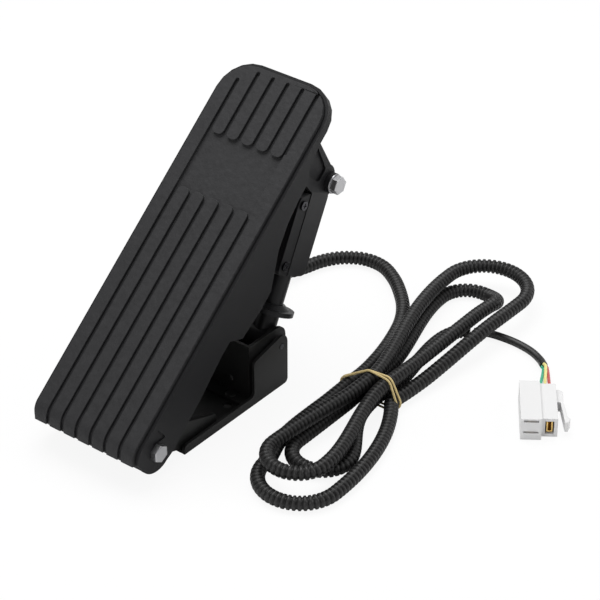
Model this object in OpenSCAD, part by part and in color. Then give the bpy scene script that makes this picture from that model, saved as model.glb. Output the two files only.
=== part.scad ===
// Foot throttle: a ribbed pedal hinged at the heel, with a telescopic sensor strut and its lead.
// Millimetres. X across, Y from heel to toe, Z up. The origin is the centre of the four floor
// bolt holes, on the underside of the base plate.

/* [Pedal] */
// Slope of the foot plate at rest, degrees
pedal_pitch = 39.5; // [36:0.5:42]
// Width of the pedal over its skirts
pedal_w = 82; // [78:0.5:86]
// Heel hinge axis to toe edge, along the foot plate
pedal_reach = 234.7; // [232:0.1:240]
// Radius of the toe corners in plan
toe_r = 22; // [10:1:30]
// Height of the foot plate's top over the hinge axis
plate_h = 12.5; // [12:0.1:14]
// Thickness of the foot plate
plate_t = 2.5; // [1.5:0.1:3]
// Height of the rim that edges the pad
rim_h = 1.5; // [0.5:0.1:3]
// Width of that rim
rim_w = 2; // [1.5:0.1:3]
// Thickness of the side skirts
skirt_t = 2.2; // [1.5:0.1:3]
// Deepest reach of the skirts below the foot plate's top
skirt_drop = 36.4; // [30:0.1:38]
// Hinge axis to the plate's upright heel face, at rest
heel_face = 14; // [13:0.1:18]
// Radius where the plate turns down at the heel
heel_r = 8; // [4:0.5:12]
// Radius of the skirts round the hinge axis
heel_ear_r = 14; // [12:0.1:15]

/* [Rubber pad] */
// Thickness of the rubber pad
pad_t = 4; // [3:0.1:6]
// Gap between the pad and the rim
pad_gap = 0.5; // [0.2:0.1:1]
// Spacing of the grooves
groove_pitch = 11.2; // [10:0.1:11.5]
// Width of a groove
groove_w = 2.6; // [1:0.1:3]
// Depth of a groove
groove_d = 2.2; // [0.5:0.1:2.5]
// Start of the smooth panel, from the hinge axis
panel_start = 143; // [120:1:160]
// Length of the smooth panel
panel_len = 46; // [20:0.5:50]
// Smooth border at the toe
toe_border = 4; // [2:0.5:10]

/* [Base] */
// Height of the heel hinge axis over the floor
hinge_h = 21; // [20:0.1:24]
// Heel hinge axis to the centre of the floor bolt holes
hinge_back = 61.5; // [58:0.1:65]
// Sides of the base plate inside the pedal's sides
base_inset = 4; // [3:0.1:6]
// Length of the base plate
base_len = 97; // [90:0.5:110]
// Hinge axis to the rear edge of the base plate
base_back = 29; // [25:0.5:32]
// Sheet thickness of the base plate
base_t = 2; // [1.5:0.1:3]
// Height of the turned-up sides
base_rim_h = 6; // [4:0.1:8]
// Floor hole centres inside the base plate's sides
floor_hole_edge = 11; // [9:0.5:14]
// Floor hole spacing along
floor_hole_y = 40; // [38:0.5:42]
// Floor hole radius, for M6 screws
floor_hole_r = 3.2; // [2.5:0.1:4]
// Length of the tall ears at the front of the base
ear_len = 32; // [28:0.5:40]
// Height of those ears over the strut's foot pivot, at the front
ear_over = 9; // [6:0.1:12]
// Height of those ears at their rear corner
ear_rear_h = 30.4; // [20:0.1:36]

/* [Strut] */
// Foot pivot of the strut behind the front edge of the base plate
foot_inset = 5.7; // [5:0.1:10]
// Foot pivot of the strut, over the floor
foot_h = 28.7; // [26:0.1:30]
// Head pivot of the strut, below the hinge axis square to the plate
head_below = 29.1; // [28:0.1:31]
// Head pivot over the square body of the sensor housing
head_over = 7.92; // [7:0.01:9]
// Radius of the sliding plunger
plunger_r = 7; // [5:0.1:7.2]
// Radius of the plunger's flange
flange_r = 15; // [12:0.5:15]
// Height of the flange over the foot pivot
flange_h = 17.5; // [16:0.1:18.5]
// Clear length of plunger between foot pivot and sensor housing
plunger_show = 43.5; // [43:0.1:46]
// Width of the sensor housing
housing_w = 22; // [21:0.5:24]
// Sensor housing behind the strut's axis
housing_rear = 19; // [18:0.1:20]
// Sensor housing in front of the strut's axis
housing_front = 9.1; // [9:0.1:12]
// Length of the square body of the housing
housing_len = 53.5; // [50:0.1:55]

/* [Fasteners] */
// Radius of the hinge and head bolts
bolt_r = 3; // [2.5:0.1:3.5]
// Width across flats of the hexagons
hex_af = 10; // [8:0.5:11]
// Height of a bolt head
bolt_head_h = 4; // [3:0.1:5]
// Height of a nut
nut_h = 5; // [3:0.1:6]
// Thickness of a washer
washer_t = 1; // [0.8:0.1:1.6]
// Radius of a washer
washer_r = 6.2; // [6:0.1:7]
// Radius of the strut's foot pin
pin_r = 4; // [3:0.1:4.5]

/* [Cord] */
// Outer diameter of the ribbed conduit
conduit_d = 9; // [8:0.1:9.2]
// Diameter of the inner sheath
sheath_d = 5; // [4:0.1:6]
// Diameter of one wire
wire_d = 2; // [1.5:0.1:2.2]

/* [Hidden] */
$fn = 48;

// Overrun of every cut, and depth by which fused pieces enter each other
over = 1;
// Running clearance of a pin in its bush
run_gap = 0.05;
// Clearance beside turning or sliding pieces
side_gap = 0.2;
// Clearance of the strut's open head pivot, which takes up the linkage's small error
head_gap = 1.1;
// Steps of an arc and of a rounded corner
arc_steps = 12;
corner_steps = 5;
// Edge radius of folded sheet and of small mouldings
edge_r = 1;
small_r = 2;
mould_r = 3;
round_r = 5;

// Sizes that follow from the ones above
pad_h = plate_h + pad_t;
rim_top = plate_h + rim_h;
rim_face = heel_face + rim_h;
pad_face = heel_face + pad_t;
pad_foot = 2.2;
skirt_foot = 1.5;
half_w = pedal_w / 2;
skirt_in = half_w - skirt_t;
base_w = pedal_w - 2 * base_inset;
floor_hole_x = base_w - 2 * floor_hole_edge;
ear_h = foot_h + ear_over;
foot_y = base_back + base_len - foot_inset;
housing_top = plunger_show + housing_len;
strut_len = housing_top + head_over;
// The foot pivot along the foot plate and square to it, and from there the head pivot
foot_along = foot_y * cos(pedal_pitch) + (foot_h - hinge_h) * sin(pedal_pitch);
foot_below = foot_y * sin(pedal_pitch) - (foot_h - hinge_h) * cos(pedal_pitch);
head_a = foot_along + sqrt(pow(strut_len, 2) - pow(foot_below - head_below, 2));
head_y = head_a * cos(pedal_pitch) + head_below * sin(pedal_pitch);
head_z = head_a * sin(pedal_pitch) - head_below * cos(pedal_pitch) + hinge_h;
strut_lean = atan2(head_y - foot_y, head_z - foot_h);
hex_r = hex_af / 2 / cos(30);

// Helpers: points
function unit(v) = v / norm(v);
function turn(a) = a > 180 ? a - 360 : a < -180 ? a + 360 : a;
function heading(v) = atan2(v.y, v.x);
function arc(c, r, from, to, steps = arc_steps) =
    [for (i = [0:steps]) c + r * [cos(from + (to - from) * i / steps),
        sin(from + (to - from) * i / steps)]];
function flat(p) = [p.x, p.y];
// One corner [x, y, radius] of an outline, as the points of its rounding
function corner(before, at, after) = at.z == 0 ? [flat(at)] :
    let (u = unit(flat(before) - flat(at)), v = unit(flat(after) - flat(at)),
        half = acos(u * v) / 2, c = flat(at) + unit(u + v) * at.z / sin(half),
        a = heading(flat(at) + u * at.z / tan(half) - c),
        b = heading(flat(at) + v * at.z / tan(half) - c))
    arc(c, at.z, a, a + turn(b - a), corner_steps);
function rounded(p) = [for (i = [0:len(p) - 1])
    each corner(p[(i + len(p) - 1) % len(p)], p[i], p[(i + 1) % len(p)])];
// Corners of a box from [x0, y0] to [x1, y1] with one radius
function box_points(x0, y0, x1, y1, r) =
    rounded([[x0, y0, r], [x1, y0, r], [x1, y1, r], [x0, y1, r]]);

// Helpers: solids
module across(x0, x1) {
    translate([x0, 0, 0]) rotate([90, 0, 90]) linear_extrude(x1 - x0) children();
}
module rod(x0, x1, r) {
    translate([x0, 0, 0]) rotate([0, 90, 0]) cylinder(r = r, h = x1 - x0);
}
module pipe(x0, x1, r, bore) {
    difference() {
        rod(x0, x1, r);
        rod(x0 - over, x1 + over, bore);
    }
}
module hexagon(x0, x1) {
    translate([x0, 0, 0]) rotate([0, 90, 0]) cylinder(r = hex_r, h = x1 - x0, $fn = 6);
}
module block(x0, x1, y0, y1, z0, z1) {
    translate([x0, y0, z0]) cube([x1 - x0, y1 - y0, z1 - z0]);
}
module at_heel() {
    translate([0, -hinge_back, hinge_h]) children();
}
module at_foot() {
    translate([0, foot_y - hinge_back, foot_h]) children();
}
module in_pedal() {
    at_heel() rotate([pedal_pitch, 0, 0]) children();
}
module in_strut() {
    at_foot() rotate([-strut_lean, 0, 0]) children();
}
module at_head() {
    in_strut() translate([0, 0, strut_len]) children();
}

// Helpers: tubes. Rings of points round a path, joined to one closed polyhedron
function tangent(p, i) =
    unit(p[min(i + 1, len(p) - 1)] - p[max(i - 1, 0)]);
function ring(p, t, r, sides) =
    let (s = unit(cross(t, abs(t.z) > 0.9 ? [1, 0, 0] : [0, 0, 1])), n = cross(s, t))
    [for (k = [0:sides - 1]) p + r * (s * cos(360 * k / sides) + n * sin(360 * k / sides))];
module tube(path, r, sides, first, last) {
    count = len(path);
    points = [for (i = [0:count - 1]) each ring(path[i],
        i == 0 ? first : i == count - 1 ? last : tangent(path, i), r, sides)];
    walls = [for (i = [0:count - 2], k = [0:sides - 1])
        let (a = i * sides + k, b = i * sides + (k + 1) % sides)
        each [[a, b, a + sides], [b, b + sides, a + sides]]];
    ends = [[for (k = [0:sides - 1]) sides - 1 - k],
        [for (k = [0:sides - 1]) (count - 1) * sides + k]];
    polyhedron(points, concat(walls, ends), convexity = 10);
}
// A hose with a bore. Its ribs are pairs of rings, a crest and a root
module ribbed_hose(path, r, rib, bore, sides, first, last) {
    count = len(path);
    inner = [for (i = [0:bore_steps:count - 1]) i];
    way = [for (i = [0:count - 1]) i == 0 ? first : i == count - 1 ? last : tangent(path, i)];
    points = concat([for (i = [0:count - 1]) each ring(path[i], way[i], r - (i % 2) * rib, sides)],
        [for (i = inner) each ring(path[i], way[i], bore, sides)]);
    start = count * sides;
    outside = [for (i = [0:count - 2], k = [0:sides - 1])
        let (a = i * sides + k, b = i * sides + (k + 1) % sides)
        each [[a, b, a + sides], [b, b + sides, a + sides]]];
    inside = [for (i = [0:len(inner) - 2], k = [0:sides - 1])
        let (a = start + i * sides + k, b = start + i * sides + (k + 1) % sides)
        each [[b, a, a + sides], [b, a + sides, b + sides]]];
    front = [for (k = [0:sides - 1]) let (n = (k + 1) % sides)
        each [[k, start + k, n], [n, start + k, start + n]]];
    out_last = (count - 1) * sides;
    in_last = start + (len(inner) - 1) * sides;
    back = [for (k = [0:sides - 1]) let (n = (k + 1) % sides)
        each [[out_last + k, out_last + n, in_last + k], [out_last + n, in_last + n, in_last + k]]];
    polyhedron(points, concat(outside, inside, front, back), convexity = 10);
}
// Points at even distances along a path
function sum_to(p) = [for (i = 0, d = 0; i < len(p);
    d = d + (i < len(p) - 1 ? norm(p[i + 1] - p[i]) : 0), i = i + 1) d];
function evenly(p, count) = let (d = sum_to(p), n = len(p) - 1)
    [for (k = [0:count]) let (at = d[n] * k / count)
        [for (j = [0:2]) lookup(at, [for (i = [0:n]) [d[i], p[i][j]]])]];
// A smooth curve through points, with a number of steps from each to the next
function blend(a, b, c, d, t) = 0.5 * (2 * b + (c - a) * t + (2 * a - 5 * b + 4 * c - d) * t * t
    + (3 * b - a - 3 * c + d) * t * t * t);
function smooth(p, steps) =
    let (q = concat([2 * p[0] - p[1]], p, [2 * p[len(p) - 1] - p[len(p) - 2]]))
    concat([for (i = [1:len(p) - 1], k = [0:steps - 1])
        blend(q[i - 1], q[i], q[i + 1], q[i + 2], k / steps)], [p[len(p) - 1]]);
function run_length(p, i = 0) =
    i >= len(p) - 1 ? 0 : norm(p[i + 1] - p[i]) + run_length(p, i + 1);

// The pedal's side outlines. At the heel a height over the plate and a distance behind the
// hinge axis meet in a corner, and the face below it stands upright at rest
function heel_corner(face, h) =
    [(h * sin(pedal_pitch) - face) / cos(pedal_pitch), h];
function upright(y, z) = [y * cos(pedal_pitch) + z * sin(pedal_pitch),
    z * cos(pedal_pitch) - y * sin(pedal_pitch)];
function with_r(p, r) = [p.x, p.y, r];
// Lower edge of a skirt, from heel to toe, as shares of the reach and of the drop
skirt_shares = [[0.04, 0.775], [0.07, 0.735], [0.17, 0.73], [0.29, 0.65], [0.332, 0.655],
    [0.36, 0.94], [0.45, 1], [0.5, 0.99], [0.592, 0.59], [0.66, 0.44], [0.725, 0.38],
    [0.775, 0.37], [0.8, 0.21], [0.865, 0.12], [1.01, 0.11]];
skirt_edge = [for (s = skirt_shares) [s.x * pedal_reach, plate_h - s.y * skirt_drop]];
frame_side = concat(
    corner(with_r([pedal_reach + over, rim_top], 0), with_r(heel_corner(rim_face, rim_top),
        heel_r + rim_h), with_r(upright(-rim_face, -skirt_foot), 0)),
    [upright(-rim_face, -skirt_foot)],
    arc([0, 0], heel_ear_r, 165, 270), skirt_edge,
    [[pedal_reach + over, rim_top]]);
// Everything above a shell at one height and one heel face, down to one foot height
function above(h, face, r, foot, end) = concat(
    corner([end, h, 0], with_r(heel_corner(face, h), r), with_r(upright(-face, -foot), 0)),
    [upright(-face, -foot), upright(-face - pedal_w, -foot), [-pedal_w, pedal_w],
    [end, pedal_w], [end, h]]);
// Everything below a shell
function below(h, face, r, end) = concat(
    corner([end, h, 0], with_r(heel_corner(face, h), r), with_r(upright(-face, -pedal_w), 0)),
    [upright(-face, -pedal_w), [end, -pedal_w], [end, h]]);
module plan(inset) {
    translate([0, 0, -pedal_w]) linear_extrude(2 * pedal_w) polygon(rounded([
        [half_w - inset, pedal_reach - inset, toe_r - inset],
        [inset - half_w, pedal_reach - inset, toe_r - inset],
        [inset - half_w, -pedal_w, 0], [half_w - inset, -pedal_w, 0]]));
}

// Pedal frame
rib_t = 2;
rib_d = 7;
rib_x_share = 0.36;
cross_rib_shares = [0.2, 0.36, 0.52];
boss_r = 8;
lug_t = 2.5;
lug_gap = 1.5;
lug_in = base_w / 2 - base_t - lug_gap - lug_t;
bush_flange_t = 0.8;
boss_in = lug_in + lug_t + bush_flange_t + side_gap;
head_ear_t = 3;
head_ear_inset = 5;
head_ear_out = half_w - head_ear_inset;
head_ear_in = head_ear_out - head_ear_t;
// Outline of an upper ear, from the head pivot along the plate and square to it, with each
// corner's radius, all as shares of the pivot's depth
ear_shares = [[0.494, 0.37, 0], [0.223, -0.983, 0.137], [0.053, -1.26, 0.172],
    [-0.167, -1.26, 0.172], [-0.314, -0.883, 0.103], [-0.45, -0.574, 0.103], [-0.4, 0.37, 0]];
pocket_shares = [[0.354, 0.12, 0.034], [0.133, -0.62, 0.069], [-0.187, -0.62, 0.069],
    [-0.287, 0.12, 0.034]];
function round_head(shares) = rounded([for (s = shares)
    [head_a + s.x * head_below, s.y * head_below, s.z * head_below]]);
ear_points = round_head(ear_shares);
pocket_points = round_head(pocket_shares);
pocket_d = 1.4;
recess_shares = [[0.75, 0.7, 0.06], [0.75, -0.07, 0.06], [0.06, 0.43, 0.06]];
recess_points = rounded([for (s = recess_shares) heel_ear_r * s]);
recess_d = 0.8;
module frame_shell() {
    difference() {
        intersection() {
            across(-half_w, half_w) polygon(frame_side);
            plan(0);
        }
        intersection() {
            across(rim_w - half_w, half_w - rim_w)
                polygon(above(plate_h, heel_face, heel_r, pad_foot + side_gap,
                    pedal_reach + over));
            plan(rim_w);
        }
        intersection() {
            across(-skirt_in, skirt_in)
                polygon(below(plate_h - plate_t, heel_face - plate_t, heel_r - plate_t,
                    pedal_reach + over));
            plan(skirt_t);
        }
    }
}
module frame_ribs() {
    top = plate_h - plate_t + over / 2;
    for (s = [-1, 1]) {
        x = s * rib_x_share * half_w;
        block(x - rib_t / 2, x + rib_t / 2, boss_r, pedal_reach - toe_r, top - rib_d, top);
    }
    for (s = cross_rib_shares) {
        y = s * pedal_reach;
        block(-skirt_in - over / 2, skirt_in + over / 2, y - rib_t / 2, y + rib_t / 2,
            top - rib_d, top);
    }
}
head_boss_t = 3;
head_boss_wall = 3.4;
module head_ear() {
    translate([0, head_a, -head_below])
        rod(head_ear_out - over / 2, head_ear_out + head_boss_t, bolt_r + head_boss_wall);
    difference() {
        across(head_ear_in, head_ear_out) polygon(ear_points);
        across(head_ear_out - pocket_d, head_ear_out + over) polygon(pocket_points);
    }
}
module pedal_frame() {
    color([0.15, 0.15, 0.16]) in_pedal() difference() {
        union() {
            frame_shell();
            frame_ribs();
            for (s = [0, 1]) mirror([s, 0, 0]) {
                head_ear();
                rod(boss_in, half_w - skirt_t / 2, boss_r);
            }
        }
        rod(-half_w - over, half_w + over, bolt_r);
        translate([0, head_a, -head_below]) rod(-half_w, half_w, bolt_r);
        for (s = [0, 1]) mirror([s, 0, 0])
            across(half_w - recess_d, half_w + over) polygon(recess_points);
    }
}

// Rubber pad
groove_count = 6;
pad_in = rim_w + pad_gap;
groove_floor = pad_h - groove_d;
groove_face = pad_face - groove_d;
module groove(x, end) {
    across(x - groove_w / 2, x + groove_w / 2)
        polygon(above(groove_floor, groove_face, heel_r + pad_t - groove_d, pad_foot + over,
            end));
}
module groove_end(x, y) {
    translate([x, y, groove_floor]) cylinder(r = groove_w / 2, h = pad_t);
}
module toe_groove(x) {
    block(x - groove_w / 2, x + groove_w / 2, panel_start + panel_len - over,
        pedal_reach - toe_border - pad_in, groove_floor, pad_h + over);
    groove_end(x, pedal_reach - toe_border - pad_in);
}
// The smooth panel lies as deep as the grooves, and the ribs end in it rounded
module panel_pocket() {
    bar = (groove_pitch - groove_w) / 2;
    edge = (groove_count - 1) / 2 * groove_pitch;
    difference() {
        block(-edge, edge, panel_start, panel_start + panel_len, groove_floor, pad_h + over);
        for (i = [1:groove_count - 1], y = [panel_start, panel_start + panel_len])
            translate([i * groove_pitch - edge - groove_pitch / 2, y, groove_floor - over])
                linear_extrude(pad_t) polygon(box_points(-bar, -bar, bar, bar, bar - edge_r));
    }
}
module rubber_pad() {
    color([0.27, 0.27, 0.28]) in_pedal() difference() {
        intersection() {
            across(pad_in - half_w, half_w - pad_in) intersection() {
                polygon(above(plate_h, heel_face, heel_r, pad_foot, pedal_reach));
                polygon(below(pad_h, pad_face, heel_r + pad_t, pedal_reach));
            }
            plan(pad_in);
        }
        for (i = [1:groove_count]) {
            x = (i - (groove_count + 1) / 2) * groove_pitch;
            if (i == 1) {
                groove(x, pedal_reach - pad_in - 3 * toe_border);
                groove_end(x, pedal_reach - pad_in - 3 * toe_border);
            } else {
                groove(x, panel_start + over);
                toe_groove(x);
            }
        }
        panel_pocket();
    }
}
// Heel hinge: bolt, nut, washer and sleeve turn with the pedal in two flanged bushes
bush_t = 2;
bush_r = bolt_r + bush_t;
bush_flange_w = 2.5;
bush_flange_r = bush_r + bush_flange_w;
sleeve_r = bush_r - 2 * side_gap;
module heel_bolt() {
    color("silver") at_heel() {
        hexagon(half_w, half_w + bolt_head_h);
        rod(-half_w - washer_t - nut_h - over, half_w + over / 2, bolt_r);
    }
}
module heel_nut() {
    color("silver") at_heel() difference() {
        hexagon(-half_w - washer_t - nut_h, -half_w - washer_t);
        rod(-half_w - washer_t - nut_h - over, -half_w, bolt_r);
    }
}
module heel_washer() {
    color("silver") at_heel() pipe(-half_w - washer_t, -half_w, washer_r, bolt_r);
}
module heel_sleeve() {
    color("dimgray") at_heel()
        pipe(side_gap - lug_in, lug_in - side_gap, sleeve_r, bolt_r);
}
module hinge_bushes() {
    color("white") at_heel() for (s = [0, 1]) mirror([s, 0, 0]) difference() {
        union() {
            rod(lug_in, lug_in + lug_t, bush_r);
            rod(lug_in + lug_t, lug_in + lug_t + bush_flange_t, bush_flange_r);
        }
        rod(lug_in - over, half_w, bolt_r + run_gap);
    }
}

// Base plate
rear_y = base_back - hinge_back;
front_y = rear_y + base_len;
base_corner_r = 3;
module floor_holes(depth) {
    for (x = [-1, 1], y = [-1, 1])
        translate([x * floor_hole_x / 2, y * floor_hole_y / 2, -over])
            cylinder(r = floor_hole_r, h = depth + 2 * over);
}
module base_side() {
    top = rounded([[rear_y, 0, 0], [front_y, 0, base_corner_r], [front_y, ear_h, 2 * base_corner_r],
        [front_y - ear_len, ear_rear_h, base_corner_r], [front_y - ear_len, base_rim_h, base_corner_r],
        [rear_y, base_rim_h, base_corner_r]]);
    across(base_w / 2 - base_t, base_w / 2) polygon(top);
}
module base_plate() {
    color([0.13, 0.13, 0.14]) difference() {
        union() {
            linear_extrude(base_t) polygon(box_points(-base_w / 2, rear_y, base_w / 2, front_y,
                base_corner_r));
            for (s = [0, 1]) mirror([s, 0, 0]) base_side();
        }
        floor_holes(base_t);
        at_foot() rod(-base_w, base_w, stub_r);
        bracket_rivet_places() rivet_hole(base_t);
        hinge_rivet_places() rivet_hole(base_t);
    }
}

// Strut bracket: a U across the base, its sides inside the ears, its web behind the strut
bracket_t = 2;
bracket_gap = 2;
bracket_out = base_w / 2 - base_t - bracket_gap;
bracket_over = 11.3;
bracket_h = foot_h + bracket_over;
bracket_len = 35;
bracket_foot = 9;
web_hole_r = 2;
web_hole_inset = 15;
web_hole_x = bracket_out - web_hole_inset;
web_hole_h = 12;
bracket_rear = front_y - ear_len;
module strut_bracket() {
    top = base_t + bracket_t;
    color([0.12, 0.12, 0.13]) difference() {
        union() {
            block(-bracket_out, bracket_out, bracket_rear, bracket_rear + bracket_t, base_t,
                bracket_h);
            block(-bracket_out, bracket_out, bracket_rear - bracket_foot,
                bracket_rear + bracket_t, base_t, top);
            for (s = [0, 1]) mirror([s, 0, 0])
                across(bracket_out - bracket_t, bracket_out) polygon(rounded([
                    [bracket_rear, base_t, 0], [bracket_rear + bracket_len, base_t, small_r],
                    [bracket_rear + bracket_len, bracket_h, 4 * small_r],
                    [bracket_rear, bracket_h, 0]]));
        }
        at_foot() rod(-base_w, base_w, pin_r);
        for (s = [-1, 1]) translate([s * web_hole_x, bracket_rear - over, web_hole_h])
            rotate([-90, 0, 0]) cylinder(r = web_hole_r, h = bracket_t + 2 * over);
        bracket_rivet_places() rivet_hole(top);
    }
}
rivet_r = 2;
rivet_head_r = 3.6;
rivet_head_h = 1.4;
bracket_rivet_shares = [-0.67, 0, 0.67];
hinge_rivet_shares = [0.3, 0.75];
module rivet_hole(top) {
    translate([0, 0, -over]) cylinder(r = rivet_r, h = top + 2 * over);
}
// A rivet clamps a bracket of one thickness on the base plate, its tail flush in the plate
module rivet(top) {
    translate([0, 0, side_gap]) cylinder(r = rivet_r, h = top - side_gap + over / 2);
    translate([0, 0, top]) intersection() {
        cylinder(r = rivet_head_r, h = rivet_head_h);
        translate([0, 0, rivet_head_h - 2 * rivet_head_r]) sphere(r = 2 * rivet_head_r);
    }
}
module bracket_rivet_places() {
    for (s = bracket_rivet_shares)
        translate([s * bracket_out, bracket_rear - bracket_foot / 2, 0]) children();
}
module bracket_rivets() {
    color([0.2, 0.2, 0.21]) bracket_rivet_places() rivet(base_t + bracket_t);
}

// Hinge bracket: a U whose two arms reach back to the heel hinge
hinge_foot_len = 31;
arm_wall = 4.5;
arm_r = bush_r + arm_wall;
module hinge_bracket() {
    top = base_t + lug_t;
    rear = rear_y + base_t;
    front = rear + hinge_foot_len;
    y = -hinge_back;
    color([0.14, 0.14, 0.15]) difference() {
        union() {
            block(-lug_in - lug_t, lug_in + lug_t, rear, front, base_t, top);
            for (s = [0, 1]) mirror([s, 0, 0]) across(lug_in, lug_in + lug_t) polygon(concat(
                [for (p = arc([0, 0], arm_r, 70, 245)) p + [y, hinge_h]],
                rounded([[rear, base_t, 0], [front, base_t, 0], [front, 2 * base_rim_h, mould_r]])));
        }
        at_heel() rod(-base_w, base_w, bush_r);
        floor_holes(top);
        hinge_rivet_places() rivet_hole(top);
    }
}
module hinge_rivet_places() {
    for (x = [-1, 1], y = hinge_rivet_shares)
        translate([x * lug_in / 2, rear_y + base_t + y * hinge_foot_len, 0]) children();
}
module hinge_rivets() {
    color([0.2, 0.2, 0.21]) hinge_rivet_places() rivet(base_t + lug_t);
}

// Foot pin of the strut: a shank between the bracket's sides and two stubs through the
// ears, the far one with a clip in its groove
stub_r = pin_r / 2;
stub_out = 0.3;
clip_t = 0.8;
clip_r = 2 * stub_r;
clip_seat = 0.5;
clip_x = -base_w / 2 - side_gap - clip_t;
module foot_pin() {
    color([0.55, 0.55, 0.56]) at_foot() difference() {
        union() {
            rod(-bracket_out, bracket_out, pin_r);
            rod(clip_x - clip_t, base_w / 2 + stub_out, stub_r);
        }
        pipe(clip_x, clip_x + clip_t, 2 * stub_r, stub_r - clip_seat);
    }
}
module pin_clip() {
    color("silver") at_foot() difference() {
        pipe(clip_x, clip_x + clip_t, clip_r, stub_r - clip_seat);
        block(clip_x - over, clip_x + clip_t + over, -clip_r - over, 0, -stub_r / 2, stub_r / 2);
    }
}
eye_half = 7;
module pin_spacers() {
    inner = bracket_out - bracket_t;
    spacer_r = foot_eye_r + over;
    color("dimgray") at_foot() {
        pipe(-inner, strut_x - eye_half - side_gap, spacer_r, pin_r);
        pipe(strut_x + eye_half + side_gap, inner, spacer_r, pin_r);
    }
}

// Plunger: an eye on the foot pin, a flange and a hollow rod that slides in the housing
housing_gap = 1;
barrel_x1 = head_ear_in - housing_gap;
strut_x = barrel_x1 - housing_w / 2;
foot_bush_t = 2;
foot_eye_wall = 3;
foot_eye_r = pin_r + foot_bush_t + foot_eye_wall;
plunger_wall = 2.4;
plunger_in = 26.5;
plunger_top = plunger_show + plunger_in;
flange_t = 3;
cone_h = 2.6;
floor_over = 0.9;
plunger_floor = flange_h + flange_t + cone_h + floor_over;
neck_r = plunger_r + 0.2 * plunger_r;
bore_r = plunger_r - plunger_wall;
module on_strut() {
    in_strut() translate([strut_x, 0, 0]) children();
}
module plunger() {
    color([0.2, 0.2, 0.21]) difference() {
        union() {
            on_strut() {
                cylinder(r = plunger_r, h = plunger_top);
                translate([0, 0, flange_h]) cylinder(r = flange_r, h = flange_t);
                translate([0, 0, flange_h + flange_t])
                    cylinder(r1 = flange_r - flange_t, r2 = neck_r, h = cone_h);
            }
            at_foot() rod(strut_x - eye_half, strut_x + eye_half, foot_eye_r);
        }
        on_strut() translate([0, 0, plunger_floor])
            cylinder(r = bore_r, h = plunger_top);
        at_foot() rod(-base_w, base_w, pin_r + foot_bush_t);
        in_strut() block(strut_x - carrier_w / 2, strut_x + carrier_w / 2, -2 * plunger_r,
            -carrier_in, carrier_low, carrier_low + carrier_h);
    }
}
module foot_bush() {
    color("white") at_foot()
        pipe(strut_x - eye_half, strut_x + eye_half, pin_r + foot_bush_t, pin_r + run_gap);
}
// Magnet and its holder, let into the rear of the plunger
carrier_w = 7;
carrier_h = 14;
carrier_under = 3;
carrier_low = plunger_top - carrier_h - carrier_under;
carrier_seat = 1.8;
carrier_in = plunger_r - carrier_seat;
carrier_show = 2.4;
carrier_out = plunger_r + carrier_show;
magnet_t = 1.6;
magnet_inset = 1.5;
module carrier_box(inset, y0, y1) {
    in_strut() block(strut_x - carrier_w / 2 + inset, strut_x + carrier_w / 2 - inset, y0, y1,
        carrier_low + inset, carrier_low + carrier_h - inset);
}
module magnet_holder() {
    color("ivory") difference() {
        carrier_box(0, -carrier_out, -carrier_in);
        carrier_box(magnet_inset, -carrier_out - over, magnet_t - carrier_out);
    }
}
module magnet() {
    color("gray") carrier_box(magnet_inset, -carrier_out, magnet_t - carrier_out);
}

// Sensor housing: a barrel round the plunger and a box behind it for the circuit board
barrel_x0 = barrel_x1 - housing_w;
cover_t = 2;
box_step = 0.4;
box_x1 = barrel_x1 - box_step - cover_t;
slide_r = plunger_r + 0.3;
box_edge = 9;
bore_end = 5;
bore_top = housing_top - bore_end;
housing_wall = 2;
head_eye_r = 10;
slot_half = carrier_w / 2 + 3 * side_gap;
module sensor_housing() {
    color([0.16, 0.16, 0.17]) difference() {
        union() {
            in_strut() {
                across(barrel_x0, barrel_x1) polygon(rounded([
                    [-box_edge, plunger_show, 0], [housing_front, plunger_show, mould_r + edge_r],
                    [housing_front, housing_top, mould_r], [-box_edge, housing_top, 0]]));
                across(barrel_x0, box_x1) polygon(rounded([
                    [-housing_rear, plunger_show, mould_r], [0, plunger_show, 0], [0, housing_top, 0],
                    [-housing_rear, housing_top - housing_rear / 4, round_r]]));
                across(barrel_x0, barrel_x1) polygon(rounded([
                    [-head_eye_r, housing_top - over, 0], [head_eye_r - over, housing_top - over, 0],
                    [head_eye_r - over, strut_len, 0], [-head_eye_r, strut_len, 0]]));
            }
            at_head() rod(barrel_x0, barrel_x1, head_eye_r);
        }
        at_head() rod(-base_w, base_w, head_bush_r + head_gap);
        on_strut() translate([0, 0, plunger_show - over])
            cylinder(r = slide_r, h = bore_top - plunger_show + over);
        // Seats of the wiper seal and of the guide bush
        on_strut() translate([0, 0, plunger_show - over])
            cylinder(r = slide_r + seal_t, h = seal_h + bush_h + over);
        // The board's pocket, open to the cover, and the slot that the magnet runs in
        in_strut() {
            block(board_x0, box_x1 + over, pocket_y0, pocket_y1, pocket_z0, pocket_z1);
            block(strut_x - slot_half, strut_x + slot_half, pocket_y1 - over, 0,
                plunger_show + seal_h + bush_h, bore_top - housing_wall);
        }
        gland_place() rod(-over, housing_w, gland_thread_r);
        cover_screw_places() rod(-screw_len, over, screw_r);
    }
}
pocket_y0 = housing_wall - housing_rear;
pocket_y1 = -box_edge - over / 2;
pocket_z0 = plunger_show + 4 * housing_wall;
pocket_z1 = housing_top - 7 * housing_wall;
board_x0 = barrel_x0 + housing_wall;
seal_t = 0.8;
seal_h = 2.5;
bush_h = 6;
module guide_bush() {
    color("tan") on_strut() translate([0, 0, plunger_show + seal_h]) difference() {
        cylinder(r = slide_r + seal_t, h = bush_h);
        translate([0, 0, -over]) cylinder(r = plunger_r + run_gap, h = bush_h + 2 * over);
    }
}
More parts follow.
